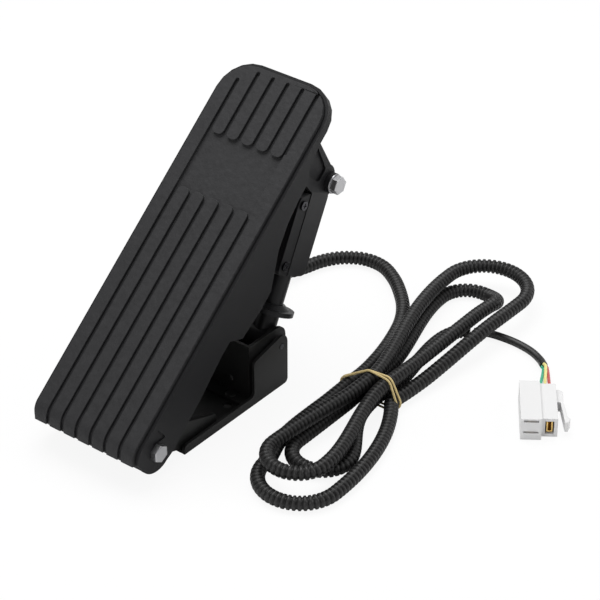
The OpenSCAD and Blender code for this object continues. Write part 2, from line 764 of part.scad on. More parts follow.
module wiper_seal() {
    color([0.08, 0.08, 0.08]) on_strut() translate([0, 0, plunger_show]) difference() {
        cylinder(r = slide_r + seal_t, h = seal_h);
        translate([0, 0, -over]) cylinder(r = plunger_r + 2 * run_gap, h = seal_h + 2 * over);
    }
}
// Cover over the board's pocket, with its two screws
screw_r = 1.5;
screw_len = 6;
screw_head_r = 3;
screw_head_h = 1.3;
screw_inset = 5;
screw_y = screw_inset - housing_rear;
screw_shares = [0.112, 0.832];
module cover_screw_places() {
    in_strut() for (s = screw_shares)
        translate([box_x1, screw_y, plunger_show + s * housing_len]) children();
}
module sensor_cover() {
    color([0.13, 0.13, 0.14]) difference() {
        in_strut() across(box_x1, box_x1 + cover_t) polygon(rounded([
            [-housing_rear, plunger_show, mould_r], [-box_edge - side_gap, plunger_show, edge_r],
            [-box_edge - side_gap, housing_top - edge_r, edge_r],
            [-housing_rear, housing_top - housing_rear / 4, round_r]]));
        cover_screw_places() rod(-over, cover_t + over, screw_r);
    }
}
module cover_screws() {
    color("silver") cover_screw_places() {
        rod(-screw_len, cover_t + over / 2, screw_r);
        difference() {
            rod(cover_t, cover_t + screw_head_h, screw_head_r);
            for (a = [0, 90]) rotate([a, 0, 0]) block(cover_t + screw_head_h / 2,
                cover_t + 2 * screw_head_h, -screw_head_r / 8, screw_head_r / 8,
                -screw_head_r / 2, screw_head_r / 2);
        }
    }
}
board_t = 1.6;
chip_w = 4;
module circuit_board() {
    color("green") in_strut() block(board_x0, box_x1 - side_gap, pocket_y0 + side_gap,
        pocket_y0 + side_gap + board_t, pocket_z0 + side_gap, pocket_z1 - side_gap);
}
module hall_sensor() {
    y = pocket_y0 + side_gap + board_t;
    color([0.1, 0.1, 0.1]) in_strut() block(strut_x - chip_w / 2, strut_x + chip_w / 2, y,
        y + board_t, carrier_low + carrier_h / 2 - chip_w / 2,
        carrier_low + carrier_h / 2 + chip_w / 2);
}
// Return spring inside the plunger's bore
spring_wire_r = 0.7;
spring_turns = 12;
spring_r = bore_r - spring_wire_r - 2 * side_gap;
spring_steps = 8;
module return_spring() {
    low = plunger_floor + spring_wire_r + side_gap;
    rise = bore_top - side_gap - spring_wire_r - low;
    path = [for (i = [0:spring_turns * spring_steps]) [
        spring_r * cos(360 * i / spring_steps), spring_r * sin(360 * i / spring_steps),
        low + rise * i / spring_turns / spring_steps]];
    start = unit(path[1] - path[0]);
    color("silver") on_strut() tube(path, spring_wire_r, 6, start, unit(path[len(path) - 1]
        - path[len(path) - 2]));
}

// Head pivot: bolt, nut, washers, sleeve and bush turn with the pedal
head_bush_t = 1.5;
head_bush_r = bolt_r + head_bush_t;
head_out = head_ear_out + head_boss_t + washer_t;
module head_bolt() {
    color("silver") at_head() {
        hexagon(head_out, head_out + bolt_head_h);
        rod(-head_out - nut_h - over, head_out + over / 2, bolt_r);
    }
}
module head_nut() {
    color("silver") at_head() difference() {
        hexagon(-head_out - nut_h, -head_out);
        rod(-head_out - nut_h - over, -head_out + over, bolt_r);
    }
}
module head_washers() {
    color("silver") at_head() {
        pipe(head_out - washer_t, head_out, washer_r, bolt_r);
        pipe(-head_out, washer_t - head_out, washer_r, bolt_r);
    }
}
module head_sleeve() {
    color("dimgray") at_head()
        pipe(-head_ear_in, barrel_x0 - side_gap, head_bush_r + over, bolt_r);
}
module head_bush() {
    color("silver") at_head()
        pipe(barrel_x0 - side_gap, head_ear_in, head_bush_r, bolt_r);
}

// Cable gland on the housing's far face, over the board's pocket
gland_thread_r = 3.4;
gland_hex_af = 12;
gland_hex_h = 5;
gland_tail_r = 5.4;
gland_len = 16;
gland_ribs = 3;
gland_pitch = 2.7;
gland_rib_h = 0.5;
gland_y = -13;
gland_up = 16.5;
gland_z = plunger_show + gland_up;
module gland_place() {
    in_strut() translate([barrel_x0, gland_y, gland_z]) children();
}
module cable_gland() {
    color([0.07, 0.07, 0.08]) gland_place() {
        rod(-over / 2, housing_wall, gland_thread_r);
        translate([-gland_hex_h, 0, 0]) rotate([0, 90, 0])
            cylinder(r = gland_hex_af / 2 / cos(30), h = gland_hex_h, $fn = 6);
        rod(-gland_len, -gland_hex_h + over / 2, gland_tail_r);
        for (k = [1:gland_ribs])
            rod(-gland_hex_h - k * gland_pitch, -gland_hex_h - (k - 0.5) * gland_pitch,
                gland_tail_r + gland_rib_h);
    }
}

// Conduit, in places chosen by hand: across, ahead of the hinge axis, over the floor
lead_route = [[-6.3, 136, 88], [-15, 136, 88], [-24, 137, 87], [-33, 141, 83], [-39, 148, 76],
    [-43, 157, 66], [-44, 167, 54], [-43, 178, 41], [-41, 189, 29], [-38, 201, 17],
    [-34, 214, 8], [-31, 228, 5], [-27, 241, 5], [-19, 253, 5], [-6, 261, 5], [9, 261, 5],
    [24, 253, 5], [37, 242, 5], [48, 230, 5], [57, 215, 5], [64, 196, 5], [69, 177, 5],
    [72, 158, 5]];
end_route = [[95, 165, 5], [91, 187, 4.6], [88, 206, 4.6], [88, 220, 4.6], [92, 231, 4.6],
    [99, 236, 4.6]];
sheath_route = [[99, 236, 4.6], [107, 241, 4], [117, 244, 3], [128, 244, 3], [139, 242, 3],
    [148, 238, 3], [154, 233, 4]];
function placed(p) = [for (q = p) [q.x, q.y - hinge_back, q.z]];

// The hank: folds on both sides of a waist, each a run out, a half turn and a run back.
// A fold is its side, its reach from the waist, the places across of its two runs, its two
// lanes at the waist, how late each run spreads, and five levels of the pile along it
waist_y = 141;
folds = [
    [-1, 116, 82.5, 132.6, 73, 105, [4, 0.5], [0, 0, 0, 0, 0]],
    [1, 154, 112, 58, 105, 89, [0.6, 0.8], [0, 1, 1, 1, 1]],
    [-1, 104, 83, 120, 89, 100, [1, 1], [1, 1, 1, 1, 1]],
    [1, 135, 98, 60, 100, 84, [1.2, 1.2], [1, 1, 0, 0, 0]],
    [-1, 82, 84.5, 120.5, 84, 95, [1, 1.4], [0, 0, 0, 0, 0]]];
run_steps = 4;
turn_steps = 5;
fold_steps = 2 * run_steps + turn_steps;
level_h = 10.5;
lowest = conduit_d / 2 + 0.1;
waist_lift = 1.2;
function spread(s, q) = let (t = pow(s, q)) t * t * (3 - 2 * t);
function level(h, t) = let (i = min(floor(4 * t), 3), u = 4 * t - i)
    h[i] + (h[i + 1] - h[i]) * u * u * (3 - 2 * u);
function fold_place(f, i) =
    let (r = abs(f[3] - f[2]) / 2, straight = f[1] - r, middle = (f[2] + f[3]) / 2,
        back = fold_steps - i, s = min(i, back) / run_steps, a = 180 * (i - run_steps) / turn_steps)
    s < 1 ? [(i < back ? f[4] : f[5]) + (i < back ? f[2] - f[4] : f[3] - f[5]) * spread(s, f[6][i < back ? 0 : 1]),
        s * straight] : [middle + (f[2] - middle) * cos(a), straight + r * sin(a)];
function fold_points(f) = [for (i = [0:fold_steps - 1]) let (p = fold_place(f, i))
    [p.x, waist_y + f[0] * p.y,
    lowest + level_h * level(f[7], i / fold_steps) + (i == 0 ? waist_lift : 0)]];
hank_path = concat([lead_route[len(lead_route) - 1]], [for (f = folds) each fold_points(f)],
    [[end_route[0].x, waist_y, lowest + waist_lift]], end_route);
function gap_at(p, i, reach) = min([for (j = [0:len(p) - 1]) abs(i - j) < reach ? level_h * 10 :
    norm(p[i] - p[j])]);
gap_steps = 3;
gap_points = smooth(hank_path, gap_steps);
echo(least_gap_of_the_hank = min([for (i = [0:len(gap_points) - 1])
    gap_at(gap_points, i, 2 * gap_steps)]) - conduit_d,
    conduit_length = run_length(smooth(lead_route, gap_steps)) + run_length(gap_points));
lead_ribs = 98;
lead_rib_h = 0.7;
lead_bore_r = 3;
bore_steps = 4;
module conduit_lead() {
    path = placed(evenly(smooth(lead_route, gap_steps), 2 * lead_ribs));
    color([0.1, 0.1, 0.11]) ribbed_hose(path, conduit_d / 2, lead_rib_h, lead_bore_r, 8, [-1, 0, 0],
        unit(hank_path[1] - lead_route[len(lead_route) - 2]));
}
module conduit_hank() {
    path = placed(hank_path);
    color([0.1, 0.1, 0.11]) tube(path, conduit_d / 2, 6,
        unit(hank_path[1] - lead_route[len(lead_route) - 2]),
        unit(end_route[5] - end_route[4]));
}
module cable_sheath() {
    color([0.1, 0.1, 0.1]) tube(placed(smooth(sheath_route, 2)), sheath_d / 2, 8,
        unit(end_route[5] - end_route[4]), sheath_way);
}
sheath_way = unit([0.77, -0.64, 0]);
band_t = 0.9;
band_w = 3;
band_low_r = 4;
band_high_r = 5;
band_slack = 1.3;
band_foot = lowest + waist_lift - conduit_d / 2;
band_mid = lowest + waist_lift + conduit_d / 2;
function band_points(e) = rounded([
    [hank_path[1].x - conduit_d / 2 - e, band_foot - e, band_low_r + e],
    [folds[0][5] + conduit_d / 2 + band_slack + e, band_foot - e, band_low_r + e],
    [folds[0][5] + conduit_d / 2 + band_slack + e, band_mid + e, band_high_r + e],
    [folds[3][4] + conduit_d / 2.5 + e, band_mid + level_h + e, band_high_r + e],
    [folds[2][4] - conduit_d / 3 - e, band_mid + level_h + e, band_high_r + e],
    [hank_path[1].x - conduit_d / 2 - e, band_mid + e, band_low_r + e]]);
module rubber_band() {
    color("khaki") translate([0, waist_y - hinge_back + band_w / 2, 0]) rotate([90, 0, 0])
        linear_extrude(band_w) difference() {
            polygon(band_points(band_t + side_gap));
            polygon(band_points(side_gap));
        }
}

// Connector on the floor, its mating face towards the pedal's heel
plug_x = 192;
plug_y = 171.3;
plug_turn = 36;
plug_len = 40;
plug_left = -11.1;
plug_split = 1.4;
plug_right = 11.1;
plug_back = 3.6;
plug_h = 15;
plug_right_h = 13;
slot_w = 9;
slot_h = 1.4;
slot_depth = 14;
slot_z = [4.6, 12.5];
slot_x = (plug_left + plug_split) / 2;
tall_slot_x = (plug_split + plug_right) / 2;
tall_slot_w = 5.4;
tall_slot_z = 2;
tall_slot_h = 9;
wire_z = 9;
wire_lanes = [2.2, 4.9, 7.6];
wire_spread = 1.35;
wire_low = 0.7;
wire_high = 1.3;
wire_lead = 4;
module at_plug() {
    translate([plug_x, plug_y - hinge_back, 0]) rotate([0, 0, plug_turn]) children();
}
module connector_housing() {
    color("whitesmoke") at_plug() difference() {
        union() {
            block(plug_left, plug_split, 0, plug_len, 0, plug_h);
            block(plug_split - over, plug_right, plug_back, plug_len, 0, plug_right_h);
        }
        for (z = slot_z)
            block(slot_x - slot_w / 2, slot_x + slot_w / 2, -over, slot_depth, z, z + slot_h);
        block(tall_slot_x - tall_slot_w / 2, tall_slot_x + tall_slot_w / 2, -over, slot_depth,
            tall_slot_z, tall_slot_z + tall_slot_h);
        for (x = wire_lanes) translate([x, plug_len - over, wire_z]) rotate([-90, 0, 0])
            cylinder(r = wire_d / 2 + side_gap, h = 2 * over);
    }
}
tab_t = 0.8;
tab_w = 4.6;
tab_tip = 2;
fork_w = 3.6;
module connector_terminals() {
    color("goldenrod") at_plug() {
        for (z = slot_z) block(slot_x - tab_w / 2, slot_x + tab_w / 2, tab_tip,
            slot_depth, z + (slot_h - tab_t) / 2, z + (slot_h + tab_t) / 2);
        // The upright contact is folded from strip, open to the front
        difference() {
            block(tall_slot_x - fork_w / 2, tall_slot_x + fork_w / 2, plug_back + tab_tip / 2,
                slot_depth, tall_slot_z + over, tall_slot_z + tall_slot_h - over);
            block(tall_slot_x - fork_w / 2 + tab_t, tall_slot_x + fork_w / 2 - tab_t, 0,
                slot_depth - tab_t, tall_slot_z + over + tab_t, tall_slot_z + tall_slot_h);
        }
    }
}
latch_t = 1.9;
latch_off = 2.4;
latch_splay = 1.8;
latch_z = 3;
latch_h = 7;
latch_y = 4.5;
latch_root = 13;
hook_len = 4;
hook_out = 1.6;
// The latch arm leaves the housing at the rear and ends in a hook near the front
module connector_latch() {
    root = plug_len - latch_t;
    arm = plug_right + latch_off;
    tip = arm + latch_splay;
    color("whitesmoke") at_plug() translate([0, 0, latch_z]) linear_extrude(latch_h) polygon([
        [plug_right, root], [plug_right, root - latch_root], [arm, root - latch_root],
        [tip, latch_y], [tip + latch_t, latch_y], [tip + latch_t + hook_out, latch_y + hook_len],
        [tip + latch_t, latch_y + hook_len + latch_t], [arm + latch_t, root - latch_root],
        [arm + latch_t, root - latch_t], [arm, root]]);
}
// Three wires from the sheath's end to the connector
sheath_end = sheath_route[len(sheath_route) - 1];
wire_side = unit([0.64, 0.77, 0]);
plug_way = [sin(plug_turn), -cos(plug_turn), 0];
module wire(side, rise, lane) {
    start = sheath_end + wire_side * side + [0, 0, rise];
    finish = [plug_x, plug_y, wire_z] - plug_way * plug_len + lane * [cos(plug_turn),
        sin(plug_turn), 0];
    route = [start, start + wire_lead * sheath_way, finish - wire_lead * plug_way, finish];
    tube(placed(smooth(route, 4)), wire_d / 2, 8, sheath_way, plug_way);
}
module wire_green() {
    color("mediumseagreen") wire(-wire_spread, -wire_low, wire_lanes[0]);
}
module wire_yellow() {
    color("gold") wire(0, wire_high, wire_lanes[1]);
}
module wire_red() {
    color("crimson") wire(wire_spread, -wire_low, wire_lanes[2]);
}

base_plate();
strut_bracket();
bracket_rivets();
hinge_bracket();
hinge_rivets();
hinge_bushes();
foot_pin();
pin_clip();
pin_spacers();
pedal_frame();
rubber_pad();
heel_bolt();
heel_nut();
heel_washer();
heel_sleeve();
head_bolt();
head_nut();
head_washers();
head_sleeve();
head_bush();
plunger();
foot_bush();
magnet_holder();
magnet();
sensor_housing();
sensor_cover();
cover_screws();
circuit_board();
hall_sensor();
guide_bush();
wiper_seal();
return_spring();
cable_gland();
conduit_lead();
conduit_hank();
rubber_band();
cable_sheath();
wire_green();
wire_yellow();
wire_red();
connector_housing();
connector_latch();
connector_terminals();
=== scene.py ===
"""Floor throttle pedal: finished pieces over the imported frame, laid out as an add-on."""

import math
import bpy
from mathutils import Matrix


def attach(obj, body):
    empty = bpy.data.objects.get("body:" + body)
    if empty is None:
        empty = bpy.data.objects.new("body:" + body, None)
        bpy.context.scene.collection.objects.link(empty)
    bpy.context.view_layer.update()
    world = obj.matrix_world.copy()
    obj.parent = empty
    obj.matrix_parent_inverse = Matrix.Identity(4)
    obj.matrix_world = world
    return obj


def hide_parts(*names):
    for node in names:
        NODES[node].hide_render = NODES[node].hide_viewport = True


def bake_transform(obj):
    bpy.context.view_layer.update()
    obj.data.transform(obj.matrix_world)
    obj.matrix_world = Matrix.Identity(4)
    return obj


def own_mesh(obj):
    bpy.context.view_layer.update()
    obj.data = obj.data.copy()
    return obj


bl_info = {
    "name": "Floor throttle pedal",
    "version": (1, 0, 0),
    "blender": (4, 5, 0),
    "location": "View3D > Sidebar > Throttle",
    "description": "Finished pieces of a floor throttle pedal over its packed frame",
    "category": "Object",
}

import bmesh
import bpy
from mathutils import Vector

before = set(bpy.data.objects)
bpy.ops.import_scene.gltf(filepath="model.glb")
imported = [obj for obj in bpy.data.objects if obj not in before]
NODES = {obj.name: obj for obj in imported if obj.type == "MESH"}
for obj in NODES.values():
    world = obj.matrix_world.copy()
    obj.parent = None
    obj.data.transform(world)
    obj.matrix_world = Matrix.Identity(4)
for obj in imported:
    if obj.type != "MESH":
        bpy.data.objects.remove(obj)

# Sizes and places are in millimetres, except where metres are named
# The heel hinge's axis lies this far behind the origin of the frame
HINGE_BACK = 61.5
# Foot pin of the strut, and the strut's lean from upright
STRUT_FOOT = (21.0, 58.8, 28.7)
STRUT_LEAN = math.radians(27.21)
# Return spring: from and to this far up the strut, with its coil's and its wire's radius
SPRING_LOW, SPRING_HIGH = 25.0, 91.0
SPRING_TURNS = 12.0
SPRING_RADIUS, SPRING_WIRE = 0.0035, 0.0007  # metres
SCREW_EDGE = 0.0002  # metres

# Conduit from the gland to the hank: across, ahead of the heel hinge, over the floor
LEAD_ROUTE = [
    (-4.5, 136, 88), (-15, 136, 88), (-24, 137, 87), (-33, 141, 83), (-39, 148, 76),
    (-43, 157, 66), (-44, 167, 54), (-43, 178, 41), (-41, 189, 29), (-38, 201, 17),
    (-34, 214, 8), (-31, 228, 5), (-27, 241, 5), (-19, 253, 5), (-6, 261, 5), (9, 261, 5),
    (24, 253, 5), (37, 242, 5), (48, 230, 5), (57, 215, 5), (64, 196, 5), (69, 177, 5),
    (72, 158, 5),
]
END_ROUTE = [
    (95, 165, 5), (91, 187, 4.6), (88, 206, 4.6), (88, 220, 4.6), (92, 231, 4.6),
    (99, 236, 4.6),
]
SHEATH_ROUTE = [
    (99, 236, 4.6), (107, 241, 4), (117, 244, 3), (128, 244, 3), (139, 242, 3),
    (148, 238, 3), (154, 233, 4),
]
# Folds of the hank: side, reach, places of its two runs, two lanes at the waist, how late
# each run spreads, and five levels of the pile
FOLDS = [
    (-1, 116, 82.5, 132.6, 73, 105, (4, 0.5), (0, 0, 0, 0, 0)),
    (1, 154, 112, 58, 105, 89, (0.6, 0.8), (0, 1, 1, 1, 1)),
    (-1, 104, 83, 120, 89, 100, (1, 1), (1, 1, 1, 1, 1)),
    (1, 135, 98, 60, 100, 84, (1.2, 1.2), (1, 1, 0, 0, 0)),
    (-1, 82, 84.5, 120.5, 84, 95, (1, 1.4), (0, 0, 0, 0, 0)),
]
WAIST_Y = 141
RUN_STEPS = 4
TURN_STEPS = 5
FOLD_STEPS = 2 * RUN_STEPS + TURN_STEPS
LEVEL_H = 10.5
LOWEST = 4.6
WAIST_LIFT = 1.2
# Points that the routes get from each given point to the next
FINE_STEPS = 8
WIRE_STEPS = 6
# Lengths of the conduit, in metres, at the gland and hanging below it
GLAND_RUN = 0.065
HANGING_RUN = 0.068
# The five rings that make one rib of the conduit; those before the limit lie in the groove,
# which the conduit's material darkens as painted shade
RIB_RINGS = 5
GROOVE_RINGS = 1.5

# Elastic band: corners of the bundle that it goes round, the radius of the strands there,
# and, for each of its two turns, its place and its slant along the hank
BUNDLE = ((73, LOWEST + WAIST_LIFT), (105, LOWEST + WAIST_LIFT),
          (100, LOWEST + WAIST_LIFT + LEVEL_H), (89, LOWEST + WAIST_LIFT + LEVEL_H))
STRAND_RADIUS = 4.5
BAND_TURNS = ((-1.3, 1.6), (1.2, -1.3))
CORNER_STEPS = 8

# Connector: middle of its mating face, its turn on the floor and its length
PLUG = (192, 171.3)
PLUG_TURN = math.radians(36)
PLUG_LEN = 40
WIRE_LANES = (2.2, 4.9, 7.6)
WIRE_SPREAD = 1.35
WIRE_Z = 9
# How far each wire runs straight on from the sheath and into the housing
WIRE_STRAIGHT = 4

# Camera, in metres and degrees, and what the lamps aim at
CAMERA_PLACE = (0.82717, -0.91676, 0.88391)
CAMERA_TURN = (56.8, 0, 38.5)
CAMERA_LENS, CAMERA_SENSOR = 150, 36
LAMP_AIM = (0.06, 0.03, 0.05)
# Painted shade: the dark part of the floor under the base plate, in metres
SHADE_MIDDLE_Y = 0.016
SHADE_HALF_X, SHADE_HALF_Y = 0.0365, 0.048
FLOOR_GLOW = 0.9


# ---- Settings ----


class ConduitSettings(bpy.types.PropertyGroup):
    """Sizes of the conduit, the sheath, the wires and the band"""

    diameter: bpy.props.FloatProperty(
        name="Conduit diameter", description="Over the ribs", default=0.009,
        min=0.007, max=0.0095, unit="LENGTH")
    pitch: bpy.props.FloatProperty(
        name="Rib pitch", description="From one rib to the next", default=0.0031,
        min=0.002, max=0.004, unit="LENGTH")
    rib_depth: bpy.props.FloatProperty(
        name="Rib depth", description="From a rib's crest to the groove", default=0.0009,
        min=0.0003, max=0.0012, unit="LENGTH")
    sides: bpy.props.IntProperty(
        name="Sides", description="Facets round the conduit", default=20, min=8, max=24)
    sheath_diameter: bpy.props.FloatProperty(
        name="Sheath diameter", description="Of the inner sheath", default=0.005,
        min=0.004, max=0.006, unit="LENGTH")
    wire_diameter: bpy.props.FloatProperty(
        name="Wire diameter", description="Over the insulation", default=0.002,
        min=0.0015, max=0.0022, unit="LENGTH")
    band_radius: bpy.props.FloatProperty(
        name="Band radius", description="Half the thickness of the band's strands",
        default=0.0007, min=0.0004, max=0.0012, unit="LENGTH")


class FinishSettings(bpy.types.PropertyGroup):
    """Edge roundings and the main colours"""

    sheet_edge: bpy.props.FloatProperty(
        name="Sheet edge", description="Edge rounding of folded sheet", default=0.0003,
        min=0.0001, max=0.001, unit="LENGTH")
    mould_edge: bpy.props.FloatProperty(
        name="Mould edge", description="Edge rounding of mouldings", default=0.0005,
        min=0.0001, max=0.001, unit="LENGTH")
    pad_edge: bpy.props.FloatProperty(
        name="Pad edge", description="Edge rounding of the rubber pad", default=0.00028,
        min=0.0001, max=0.001, unit="LENGTH")
    steel_edge: bpy.props.FloatProperty(
        name="Steel edge", description="Edge rounding of bolts, nuts and pins",
        default=0.00035, min=0.0001, max=0.001, unit="LENGTH")
    pad_colour: bpy.props.FloatVectorProperty(
        name="Pad colour", description="Rubber of the pad", subtype="COLOR", size=4,
        default=(0.016, 0.016, 0.017, 1))
    frame_colour: bpy.props.FloatVectorProperty(
        name="Frame colour", description="Moulding of the pedal frame", subtype="COLOR",
        size=4, default=(0.008, 0.008, 0.009, 1))
    sheet_colour: bpy.props.FloatVectorProperty(
        name="Sheet colour", description="Coating of the folded base", subtype="COLOR",
        size=4, default=(0.008, 0.008, 0.008, 1))


class StageSettings(bpy.types.PropertyGroup):
    """Lamps and surrounding light"""

    key_power: bpy.props.FloatProperty(
        name="Key power", description="Of the large lamp overhead", default=14,
        min=0, max=60)
    fill_power: bpy.props.FloatProperty(
        name="Fill power", description="Of the lamp beside the camera", default=3.5,
        min=0, max=60)
    rim_power: bpy.props.FloatProperty(
        name="Rim power", description="Of the lamp behind on the right", default=4,
        min=0, max=60)
    ambient: bpy.props.FloatProperty(
        name="Ambient", description="Strength of the surrounding light", default=0.35,
        min=0, max=2)


# ---- Routes ----


def place_of(p):
    """A place in millimetres ahead of the heel hinge, as a point in metres."""
    return Vector((p[0] / 1000, (p[1] - HINGE_BACK) / 1000, p[2] / 1000))


def on_strut(x, y, z):
    """A place across, ahead of and along the strut, as a point in metres."""
    c, s = math.cos(STRUT_LEAN), math.sin(STRUT_LEAN)
    return Vector((x, STRUT_FOOT[1] + y * c + z * s, STRUT_FOOT[2] - y * s + z * c)) / 1000


def smooth(points, steps):
    """A curve through the points, with a number of steps from each to the next."""
    p = [Vector(q) for q in points]
    q = [2 * p[0] - p[1]] + p + [2 * p[-1] - p[-2]]
    out = []
    for i in range(1, len(q) - 2):
        a, b, c, d = q[i - 1:i + 3]
        for k in range(steps):
            t = k / steps
            out.append(0.5 * (2 * b + (c - a) * t + (2 * a - 5 * b + 4 * c - d) * t * t
                              + (3 * b - a - 3 * c + d) * t * t * t))
    return out + [p[-1]]


def ease(t):
    """From 0 to 1 with a slow start and a slow end."""
    return t * t * (3 - 2 * t)


def fold_place(fold, i):
    """A place on a fold, i counting its steps from 0 to FOLD_STEPS."""
    side, reach, x_out, x_back, lane_out, lane_back, lateness, levels = fold
    radius = abs(x_back - x_out) / 2
    straight = reach - radius
    back = FOLD_STEPS - i
    s = min(i, back) / RUN_STEPS
    if s < 1:
        lane, x, late = (lane_out, x_out, lateness[0]) if i < back else (
            lane_back, x_back, lateness[1])
        across, along = lane + (x - lane) * ease(s ** late), s * straight
    else:
        a = math.pi * (i - RUN_STEPS) / TURN_STEPS
        across = (x_out + x_back) / 2 + (x_out - x_back) / 2 * math.cos(a)
        along = straight + radius * math.sin(a)
    spans = len(levels) - 1
    t = spans * i / FOLD_STEPS
    k = min(int(t), spans - 1)
    level = levels[k] + (levels[k + 1] - levels[k]) * ease(t - k)
    lift = WAIST_LIFT * max(0, 1 - min(i, back))
    return Vector((across, WAIST_Y + side * along, LOWEST + LEVEL_H * level + lift))


def evenly(points, gap):
    """The same line with a point every gap, in metres."""
    out = [points[0].copy()]
    left = gap
    for a, b in zip(points, points[1:]):
        length = (b - a).length
        done = 0.0
        while length - done >= left:
            done += left
            out.append(a.lerp(b, done / length))
            left = gap
        left -= length - done
    return out


def conduit_route(gap):
    """The whole conduit's centreline from the gland to its open end."""
    folds = [fold_place(fold, k / FINE_STEPS)
             for fold in FOLDS for k in range(FOLD_STEPS * FINE_STEPS)]
    waist = (END_ROUTE[0][0], WAIST_Y, LOWEST + WAIST_LIFT)
    line = smooth(LEAD_ROUTE + [folds[0]], FINE_STEPS)[:-1] + folds
    line += smooth([waist] + END_ROUTE, FINE_STEPS)
    return evenly([place_of(p) for p in line], gap)


# ---- Materials ----


def grain_group():
    """Shared effect: a fine mould grain, as a normal, on the piece's own coordinates."""
    if "Mould grain" in bpy.data.node_groups:
        return bpy.data.node_groups["Mould grain"]
    g = bpy.data.node_groups.new("Mould grain", "ShaderNodeTree")
    for name, value in (("Scale", 900.0), ("Strength", 0.2), ("Depth", 0.0002)):
        s = g.interface.new_socket(name, in_out="INPUT", socket_type="NodeSocketFloat")
        s.default_value = value
    g.interface.new_socket("Normal", in_out="OUTPUT", socket_type="NodeSocketVector")
    n, link = g.nodes, g.links
    start, end = n.new("NodeGroupInput"), n.new("NodeGroupOutput")
    place, noise = n.new("ShaderNodeTexCoord"), n.new("ShaderNodeTexNoise")
    bump = n.new("ShaderNodeBump")
    noise.inputs["Detail"].default_value = 4
    link.new(place.outputs["Object"], noise.inputs["Vector"])
    link.new(start.outputs["Scale"], noise.inputs["Scale"])
    link.new(noise.outputs["Fac"], bump.inputs["Height"])
    link.new(start.outputs["Strength"], bump.inputs["Strength"])
    link.new(start.outputs["Depth"], bump.inputs["Distance"])
    link.new(bump.outputs["Normal"], end.inputs["Normal"])
    return g


def tone_group():
    """Shared effect: a slow drift between two tones, from handling and from moulding."""
    if "Tone drift" in bpy.data.node_groups:
        return bpy.data.node_groups["Tone drift"]
    g = bpy.data.node_groups.new("Tone drift", "ShaderNodeTree")
    for name in ("Tone", "Second tone"):
        g.interface.new_socket(name, in_out="INPUT", socket_type="NodeSocketColor")
    s = g.interface.new_socket("Scale", in_out="INPUT", socket_type="NodeSocketFloat")
    s.default_value = 25.0
    g.interface.new_socket("Color", in_out="OUTPUT", socket_type="NodeSocketColor")
    n, link = g.nodes, g.links
    start, end = n.new("NodeGroupInput"), n.new("NodeGroupOutput")
    place, noise = n.new("ShaderNodeTexCoord"), n.new("ShaderNodeTexNoise")
    mix = n.new("ShaderNodeMix")
    mix.data_type = "RGBA"
    noise.inputs["Detail"].default_value = 3
    link.new(place.outputs["Object"], noise.inputs["Vector"])
    link.new(start.outputs["Scale"], noise.inputs["Scale"])
    link.new(noise.outputs["Fac"], mix.inputs["Factor"])
    link.new(start.outputs["Tone"], mix.inputs["A"])
    link.new(start.outputs["Second tone"], mix.inputs["B"])
    link.new(mix.outputs["Result"], end.inputs["Color"])
    return g


def finish(name, colour, roughness, metallic=0.0, drift=0.0, drift_scale=25.0,
           grain=None, specular=0.5):
    """A Principled material; drift is how far the second tone lies from the first, and
    grain is the scale, strength and depth of its mould grain."""
    if name in bpy.data.materials:
        return bpy.data.materials[name]
    m = bpy.data.materials.new(name)
    m.use_nodes = True
    n, link = m.node_tree.nodes, m.node_tree.links
    shader = n["Principled BSDF"]
    colour = tuple(colour)[:3] + (1.0,)
    shader.inputs["Base Color"].default_value = colour
    shader.inputs["Roughness"].default_value = roughness
    shader.inputs["Metallic"].default_value = metallic
    shader.inputs["Specular IOR Level"].default_value = specular
    if drift:
        tone = n.new("ShaderNodeGroup")
        tone.node_tree = tone_group()
        tone.inputs["Scale"].default_value = drift_scale
        tone.inputs["Tone"].default_value = colour
        tone.inputs["Second tone"].default_value = tuple(
            min(1, c * (1 + drift)) for c in colour[:3]) + (1.0,)
        link.new(tone.outputs["Color"], shader.inputs["Base Color"])
    if grain:
        group = n.new("ShaderNodeGroup")
        group.node_tree = grain_group()
        for key, value in zip(("Scale", "Strength", "Depth"), grain):
            group.inputs[key].default_value = value
        link.new(group.outputs["Normal"], shader.inputs["Normal"])
    m.diffuse_color = colour
    return m


def conduit_finish():
    """Dark plastic, darker still in the grooves as painted shade, which an attribute marks.
    """
    m = finish("Conduit plastic", (0.02, 0.0195, 0.0195), 0.4, specular=0.3)
    n, link = m.node_tree.nodes, m.node_tree.links
    colour = n["Principled BSDF"].inputs["Base Color"]
    if not colour.is_linked:
        groove = n.new("ShaderNodeAttribute")
        groove.attribute_name = "groove"
        mix = n.new("ShaderNodeMix")
        mix.data_type = "RGBA"
        mix.inputs["A"].default_value = colour.default_value
        # Painted shade: the colour of the grooves
        mix.inputs["B"].default_value = (0.0005, 0.0005, 0.0005, 1)
        link.new(groove.outputs["Fac"], mix.inputs["Factor"])
        link.new(mix.outputs["Result"], colour)
    return m


